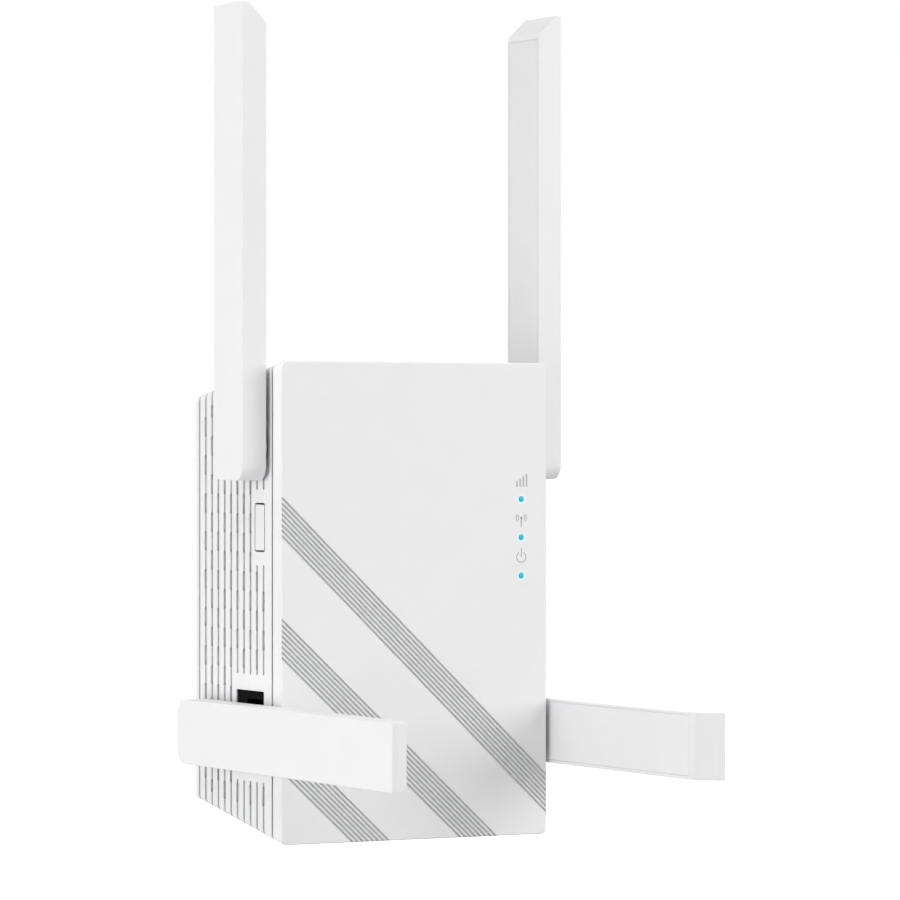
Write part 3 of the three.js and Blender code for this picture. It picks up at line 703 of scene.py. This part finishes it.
def button_opening():
    stations = [(-SIDE - 1, -BUTTON_RIM), (-SIDE, -BUTTON_RIM), (-SIDE + BUTTON_RIM, 0.0),
                (-SIDE + 3, 0.0)]
    return bar("opening", "X", button_outline, stations)


PORT_OPENING = (-33.25, -20.2, -58.35, -42.95)


def port_opening():
    return prism("opening", "X", rounded(*PORT_OPENING, 0.25, steps=3), -SIDE - 1, -SIDE + 3)


CARRIER_FLANGE = 1.65
CARRIER_RADIUS = 2.0
CARRIER_PLAY = 0.15


def carrier_outline(inset):
    _, high = box_mm("plug_carrier")
    half_wide = high.x - CARRIER_FLANGE - inset
    half_high = high.z - CARRIER_FLANGE - inset
    radius = max(CARRIER_RADIUS - inset, 0.5)
    return rounded(-half_wide, half_wide, -half_high, half_high, radius)


def plug_opening():
    return prism("opening", "Y", carrier_outline(-CARRIER_PLAY), -WALL - 1, 1)


def clip(polygon, distance):
    """The part of a polygon where distance(point) is not negative."""
    kept = []
    for i, here in enumerate(polygon):
        after = polygon[(i + 1) % len(polygon)]
        d0, d1 = distance(here), distance(after)
        if d0 >= 0:
            kept.append(here)
        if (d0 > 0 > d1) or (d0 < 0 < d1):
            share = d0 / (d0 - d1)
            kept.append(tuple(a + (b - a) * share for a, b in zip(here, after)))
    return kept


def stripe_outline(start, slope):
    """One diagonal groove, clipped to the front face inside its margins."""
    limit = SIDE - STRIPE_MARGIN
    low, high = BODY_BOTTOM + STRIPE_MARGIN, BODY_TOP - STRIPE_MARGIN
    half = STRIPE_WIDTH / 2 * math.hypot(1, slope)
    x0, x1 = -SIDE - 5, SIDE + 5
    z0, z1 = (start - slope * (x + SIDE) for x in (x0, x1))
    outline = [(x0, z0 - half), (x1, z1 - half), (x1, z1 + half), (x0, z0 + half)]
    for distance in (lambda p: p[0] + limit, lambda p: limit - p[0],
                     lambda p: p[1] - low, lambda p: high - p[1]):
        outline = clip(outline, distance)
    return outline


def stripe_cutters():
    stripes = []
    for start, slope in BANDS:
        for i in range(STRIPE_COUNT):
            outline = stripe_outline(start - i * STRIPE_PITCH, slope)
            stripes.append(prism("stripe", "Y", outline, FRONT - 1, FRONT + STRIPE_DEPTH))
    return merge("stripes", stripes)


def build_cover():
    rings = [(FRONT + along, inset) for along, inset in quarter_round(COVER_EDGE, 5)]
    lip = [(COVER_REAR - along, inset) for along, inset in quarter_round(SEAM_EDGE, 3)]
    rebate = TONGUE_INSET - TONGUE_PLAY
    shelf = TONGUE_FRONT - TONGUE_PLAY
    rings += lip[::-1] + [(COVER_REAR, rebate), (shelf, rebate), (shelf, WALL),
                          (INNER_FRONT, WALL)]
    cover = loft("cover", [body_ring(y, inset) for y, inset in rings])
    for x, z in screw_places():
        join(cover, rod("post", "Y", x, z, POST_RADIUS, INNER_FRONT - 0.3, COVER_HIGH.y))
        cut(cover, rod("bore", "Y", x, z, POST_BORE, -20, 0))
    cut(cover, stripe_cutters())
    for x, z in lamp_centres():
        cut(cover, rod("hole", "Y", x, z, LAMP_HOLE, FRONT - 1, INNER_FRONT + 1, 40))
    return finish_piece(cover, "case", finish("cover_plastic"),
                        ["front_cover"])


# Antennas ------------------------------------------------------------------------------

PADDLE_LOW, PADDLE_HIGH = box_mm("antenna_shell_upper_right")
PADDLE_INNER, PADDLE_OUTER = PADDLE_LOW.x, PADDLE_HIGH.x
PADDLE_HALF = (PADDLE_HIGH.y - PADDLE_LOW.y) / 2
ROOT_RADIUS = 3.0
ROOT = -PADDLE_HALF
TIP = ROOT + PADDLE_HIGH.z - PADDLE_LOW.z
TIP_FLAT = 1.3
COVER_TOP = 86.2
COVER_THICKNESS = 0.9
COVER_INSET = 0.67
SEAM_PLAY = 0.02
SHELL = 1.2
PADDLE_EDGE = 0.45
SHOULDER_RADIUS = 0.9
HINGE_BOSS = 5.4
HINGE_HOLE = 3.75
TIP_WEIGHT = 0.45


def is_folded(antenna):
    low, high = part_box("antenna_shell_" + antenna)
    return high.y - low.y > high.z - low.z


def stand(obj, antenna):
    """Moves a piece drawn upright about the hinge to where the antenna is."""
    y, z = hinge_mm(antenna)
    turn = Matrix.Rotation(math.pi / 2 if is_folded(antenna) else 0.0, 4, "X")
    obj.data.transform(Matrix.Translation((0, y, z)) @ turn)
    return obj


def slab(side, x0, x1, inset, top):
    """An upright slab about the hinge with a rounded root, inset from the paddle's edges."""
    half = PADDLE_HALF - inset
    outline = rounded(-half, half, ROOT + inset, top, 0.4, ROOT_RADIUS - inset, steps=8)
    low, high = sorted((side * x0, side * x1))
    return prism("slab", "X", outline, low, high)


def paddle_form(side):
    """The paddle's outer form: a bar with a rounded root and a tip cut off at 45 degrees."""
    reach = PADDLE_OUTER - TIP_FLAT - PADDLE_INNER
    outline = [(side * PADDLE_INNER, ROOT), (side * PADDLE_OUTER, ROOT), (side * PADDLE_OUTER, TIP),
               (side * (PADDLE_OUTER - TIP_FLAT), TIP), (side * PADDLE_INNER, TIP - reach)]
    form = prism("form", "Y", outline, -PADDLE_HALF, PADDLE_HALF)

    def at_root(edge):
        return all(abs(v.co.z - ROOT) < 1e-4 for v in edge.verts) and (
            abs(edge.verts[0].co.y - edge.verts[1].co.y) < 1e-4)

    def at_shoulder(edge):
        return all(abs(v.co.z - (TIP - reach)) < 1e-3 for v in edge.verts) and (
            abs(edge.verts[0].co.y - edge.verts[1].co.y) > 1)

    bevel_edges(form, at_root, ROOT_RADIUS, 10)
    bevel_edges(form, at_shoulder, SHOULDER_RADIUS, 4)
    weigh_edges(form)
    return form


def weigh_edges(form):
    """Rounds the long edges of a paddle more than the edges of its tip."""
    made = bmesh.new()
    made.from_mesh(form.data)
    weight = made.edges.layers.float.new("bevel_weight_edge")
    for edge in made.edges:
        if len(edge.link_faces) == 2 and edge.calc_face_angle() > math.radians(40):
            at_tip = all(v.co.z > TIP - 5 for v in edge.verts)
            edge[weight] = TIP_WEIGHT if at_tip else 1.0
    made.to_mesh(form.data)
    made.free()
    modifier = form.modifiers.new("edges", "BEVEL")
    modifier.width = PADDLE_EDGE
    modifier.segments = 4
    modifier.limit_method = "WEIGHT"
    bake(form)


def build_antenna(antenna):
    side = side_of(antenna)
    body = "antenna_" + antenna
    shell = paddle_form(side)
    shell.name = "paddle_shell_" + antenna
    recess = slab(side, PADDLE_INNER - 1, PADDLE_INNER + COVER_THICKNESS + 0.1,
                  COVER_INSET - SEAM_PLAY, COVER_TOP)
    pocket = slab(side, PADDLE_INNER - 1, PADDLE_OUTER - SHELL, SHELL + 0.2, COVER_TOP - 1)
    cut(shell, recess, pocket)
    finish_piece(stand(shell, antenna), body, finish("paddle_plastic"),
                 ["antenna_shell_" + antenna])

    plate = slab(side, PADDLE_INNER, PADDLE_INNER + COVER_THICKNESS, COVER_INSET,
                 COVER_TOP - SEAM_PLAY)
    plate.name = "paddle_cover_" + antenna
    boss_ends = side * (SIDE + 0.15), side * (PADDLE_INNER + 0.3)
    hole_ends = side * SIDE, side * (PADDLE_INNER + 2)
    join(plate, rod("boss", "X", 0, 0, HINGE_BOSS, *boss_ends, 48))
    cut(plate, rod("hole", "X", 0, 0, HINGE_HOLE, *hole_ends, 48))
    finish_piece(stand(plate, antenna), body, finish("paddle_plastic"),
                 ["antenna_cover_" + antenna])


# Plug, button and screws ---------------------------------------------------------------

BLADE_BEVEL = 1.4
BLADE_GAP = 0.05
BLADE_HOLE_RADIUS = 1.5
BLADE_HOLE_SETBACK = 5


def blade_outline(low, high):
    """Side view of a blade, with the two corners of its tip cut off."""
    shoulder = high.y - BLADE_BEVEL
    return [(low.y, low.z), (shoulder, low.z), (high.y, low.z + BLADE_BEVEL),
            (high.y, high.z - BLADE_BEVEL), (shoulder, high.z), (low.y, high.z)]


def build_plug():
    low, high = box_mm("plug_carrier")
    carrier = bar("carrier", "Y", carrier_outline,
                  [(-WALL - 0.5, 0.0), (-0.25, 0.0), (-0.08, 0.07), (0.0, 0.25)])
    outline = rounded(low.x, high.x, low.z, high.z, CARRIER_RADIUS)
    flange = prism("flange", "Y", outline, low.y, -WALL - 0.1)
    join(carrier, flange)
    for side in SIDES:
        node = "plug_blade_" + side
        blade_low, blade_high = box_mm(node)
        cut(carrier, box("slot", blade_low.x - BLADE_GAP, blade_high.x + BLADE_GAP, low.y - 1, 1,
                         blade_low.z - BLADE_GAP, blade_high.z + BLADE_GAP))
        outline = blade_outline(blade_low, blade_high)
        blade = prism("blade_" + side, "X", outline, blade_low.x, blade_high.x)
        cut(blade, rod("hole", "X", blade_high.y - BLADE_HOLE_SETBACK, 0, BLADE_HOLE_RADIUS,
                       blade_low.x - 1, blade_high.x + 1))
        soften(blade, 0.22, 3, 30)
        finish_piece(blade, "case", finish("blade_tin"), [node])
    finish_piece(carrier, "case", finish("housing_plastic"), ["plug_carrier"])


SHANK_RADIUS = 1.05
CROSS_ARM = 1.3
CROSS_HALF = 0.26
CROSS_DEPTH = 0.95


def build_screw(node, place_xz):
    """A screw with a domed head and a cross recess."""
    x, z = place_xz
    low, high = box_mm(node)
    radius = (high.x - low.x) / 2
    dome = [(radius, high.y - 1.55), (radius, high.y - 0.6), (radius * 0.93, high.y - 0.25),
            (radius * 0.75, high.y - 0.05), (radius * 0.45, high.y)]
    profile = [(SHANK_RADIUS, low.y), (SHANK_RADIUS, dome[0][1])] + dome
    rings = [[(a, y, b) for a, b in circle(x, z, r)] for r, y in profile]
    screw = loft(node.replace("housing_screw", "screw"), rings)
    for half_x, half_z in ((CROSS_ARM, CROSS_HALF), (CROSS_HALF, CROSS_ARM)):
        cut(screw, box("slot", x - half_x, x + half_x, high.y - CROSS_DEPTH, high.y + 1,
                       z - half_z, z + half_z))
    soften(screw, 0.04, 1, 50)
    finish_piece(screw, "case", finish("steel"), [node])


def build_button():
    """The cap, the flange that keeps it behind the wall and the nose that works the switch."""
    low, high = box_mm("side_button")
    wall_inner = -SIDE + WALL
    face = [(low.x + along, BUTTON_GAP + inset) for along, inset in quarter_round(BUTTON_EDGE, 4)]
    cap = bar("button_cap", "X", button_outline, face + [(wall_inner + 0.3, BUTTON_GAP)])
    flange = prism("flange", "X", button_outline(-0.5), wall_inner + 0.15, wall_inner + 0.95)
    nose = rod("nose", "X", BUTTON_Y, BUTTON_Z, 1.2, wall_inner + 0.9, high.x)
    join(cap, flange, nose)
    finish_piece(cap, "button", finish("button_plastic"), ["side_button"])


def build_light_pipe():
    low, high = box_mm("light_pipe")
    middle = (low.x + high.x) / 2
    pipe = box("light_guide", low.x, high.x, -39.5, -38.3, low.z, high.z)
    soften(pipe, 0.2, 3)
    dome = [(LAMP_RADIUS, -39.2), (LAMP_RADIUS, low.y + 0.12), (LAMP_RADIUS * 0.85, low.y + 0.05),
            (LAMP_RADIUS * 0.5, low.y)]
    for _, z in lamp_centres():
        rings = [[(a, y, b) for a, b in circle(middle, z, r)] for r, y in dome]
        join(pipe, loft("pin", rings), rod("stem", "Y", middle, z, 0.9, -39.0, high.y))
    finish_piece(pipe, "case", finish("light_guide"), ["light_pipe"])


# Printed icons -------------------------------------------------------------------------

INK = 0.015


def inked(name, outlines):
    """Thin printed shapes on the front face, from (x, z) outlines."""
    parts = [prism("ink", "Y", outline, FRONT - INK, FRONT + INK) for outline in outlines]
    finish_piece(merge(name, parts), "case", finish("icon_ink"))


def arc_band(x, z, inner, outer, start, end, steps=20):
    """A band of a ring between two angles, in degrees."""
    angles = [math.radians(start + (end - start) * i / steps) for i in range(steps + 1)]
    outside = [(x + outer * math.cos(t), z + outer * math.sin(t)) for t in angles]
    inside = [(x + inner * math.cos(t), z + inner * math.sin(t)) for t in reversed(angles)]
    return outside + inside


def build_icons():
    (x, first), (_, second), (_, third) = lamp_centres()
    bars = []
    for i, height in enumerate((1.2, 1.7, 2.2, 2.7)):
        left = x - 1.2 + i * 0.76
        bars.append(rectangle(left, left + 0.33, first + 2.6, first + 2.6 + height))
    inked("icon_signal", bars)

    z = second + 4.1
    mast = [rectangle(x - 0.12, x + 0.12, z - 1.9, z), circle(x, z, 0.26, 20)]
    for radius in (0.72, 1.22):
        for middle in (0, 180):
            mast.append(arc_band(x, z, radius - 0.1, radius + 0.1, middle - 42, middle + 42))
    inked("icon_wireless", mast)

    z = third + 3.9
    ring = arc_band(x, z, 0.98, 1.2, 120, 420, 40)
    inked("icon_power", [ring, rectangle(x - 0.11, x + 0.11, z, z + 1.9)])


# CAD nodes that stay -------------------------------------------------------------------


def dress_cad_nodes():
    """Gives the CAD nodes that are still shown their finish and slightly rounded edges."""
    for entry in frame["record"]["subparts"]:
        node = frame["nodes"][entry["node"]]
        if node.hide_render:
            continue
        node.data.materials.clear()
        node.data.materials.append(finish(entry["material_slot"]))
        weld = node.modifiers.new("weld", "WELD")
        weld.merge_threshold = 1e-6
        bevel = node.modifiers.new("edges", "BEVEL")
        bevel.width = 0.1 * MM
        bevel.segments = 2
        bevel.limit_method = "ANGLE"
        bevel.angle_limit = math.radians(50)
        bevel.use_clamp_overlap = True
        node.modifiers.new("normals", "WEIGHTED_NORMAL").keep_sharp = True


# Studio --------------------------------------------------------------------------------

FLOOR_HEIGHT = -0.165
FLOOR_HALF = 30.0
SUBJECT = (0, -0.03, 0)

# Name, place, width and power of each softbox.
SOFTBOXES = (
    ("left", (-0.7, -0.1, -0.13), 0.6, 2.85),
    ("right", (0.72, -0.85, 0.35), 0.8, 5.8),
    ("top", (-0.3, -0.2, 0.9), 0.8, 3.0),
    ("rear", (0.75, 0.7, 0.35), 0.8, 4.5),
)

CAMERA_PLACE = (-0.4583, -0.9118, 0.0089)
CAMERA_TURN = -28.18
CAMERA_LENS = 190.07
CAMERA_SHIFT = -0.01167


def build_floor():
    """A pale floor, white to the camera, that casts no shadow."""
    mesh = bpy.data.meshes.new("floor")
    made = bmesh.new()
    bmesh.ops.create_grid(made, x_segments=4, y_segments=4, size=FLOOR_HALF)
    made.to_mesh(mesh)
    made.free()
    mesh.transform(Matrix.Translation((0, 0, FLOOR_HEIGHT)))
    floor = bpy.data.objects.new("floor", mesh)
    bpy.context.scene.collection.objects.link(floor)
    paint = surface("floor_paint", 0xF4F4F4, 0.9, grain=0.2, variation=0.01)
    seen = paint.node("ShaderNodeLightPath").outputs["Is Camera Ray"]
    paint.link(paint.mix(seen, linear(0xB8B8B8), paint.tone), paint.shader.inputs["Base Color"])
    paint.shader.inputs["Emission Color"].default_value = (1, 1, 1, 1)
    paint.link(paint.math("MULTIPLY", seen, 0.65), paint.shader.inputs["Emission Strength"])
    mesh.materials.append(paint.material)
    floor.visible_shadow = False


def build_world():
    """Soft light from all round, brighter from the front left; white to the camera."""
    world = bpy.data.worlds.new("studio")
    bpy.context.scene.world = world
    world.use_nodes = True
    tree = world.node_tree
    nodes, links = tree.nodes, tree.links
    nodes.clear()
    where = nodes.new("ShaderNodeTexCoord")
    dot = nodes.new("ShaderNodeVectorMath")
    dot.operation = "DOT_PRODUCT"
    dot.inputs[1].default_value = Vector((-0.6, -0.5, 0.4)).normalized()
    links.new(where.outputs["Generated"], dot.inputs[0])
    level = nodes.new("ShaderNodeMapRange")
    for index, value in ((1, -1.0), (2, 1.0), (3, 0.36), (4, 0.62)):
        level.inputs[index].default_value = value
    links.new(dot.outputs["Value"], level.inputs[0])
    light = nodes.new("ShaderNodeBackground")
    links.new(level.outputs[0], light.inputs["Strength"])
    seen = nodes.new("ShaderNodeBackground")
    path = nodes.new("ShaderNodeLightPath")
    mix = nodes.new("ShaderNodeMixShader")
    out = nodes.new("ShaderNodeOutputWorld")
    for background in (light, seen):
        background.inputs["Color"].default_value = (1, 1, 1, 1)
    links.new(path.outputs["Is Camera Ray"], mix.inputs[0])
    links.new(light.outputs[0], mix.inputs[1])
    links.new(seen.outputs[0], mix.inputs[2])
    links.new(mix.outputs[0], out.inputs[0])


def add_softbox(name, place_at, size, watts):
    data = bpy.data.lights.new(name, "AREA")
    data.shape = "DISK"
    data.size = size
    data.energy = watts
    lamp = bpy.data.objects.new(name, data)
    lamp.location = place_at
    aim = Vector(SUBJECT) - Vector(place_at)
    lamp.rotation_euler = aim.to_track_quat("-Z", "Y").to_euler()
    bpy.context.scene.collection.objects.link(lamp)


def add_camera():
    data = bpy.data.cameras.new("camera")
    data.sensor_width = 36
    data.lens = CAMERA_LENS
    data.shift_y = CAMERA_SHIFT
    data.clip_start = 0.05
    camera = bpy.data.objects.new("camera", data)
    camera.location = CAMERA_PLACE
    camera.rotation_euler = (math.radians(90), 0, math.radians(CAMERA_TURN))
    bpy.context.scene.collection.objects.link(camera)
    bpy.context.scene.camera = camera


build_housing()
build_cover()
for antenna_name in ANTENNAS:
    build_antenna(antenna_name)
build_plug()
for screw_name, screw_place in zip(SCREWS, screw_places()):
    build_screw(screw_name, screw_place)
build_button()
build_light_pipe()
build_icons()
dress_cad_nodes()
build_floor()
build_world()
for softbox in SOFTBOXES:
    add_softbox(*softbox)
add_camera()
bpy.context.scene.view_settings.view_transform = "Standard"
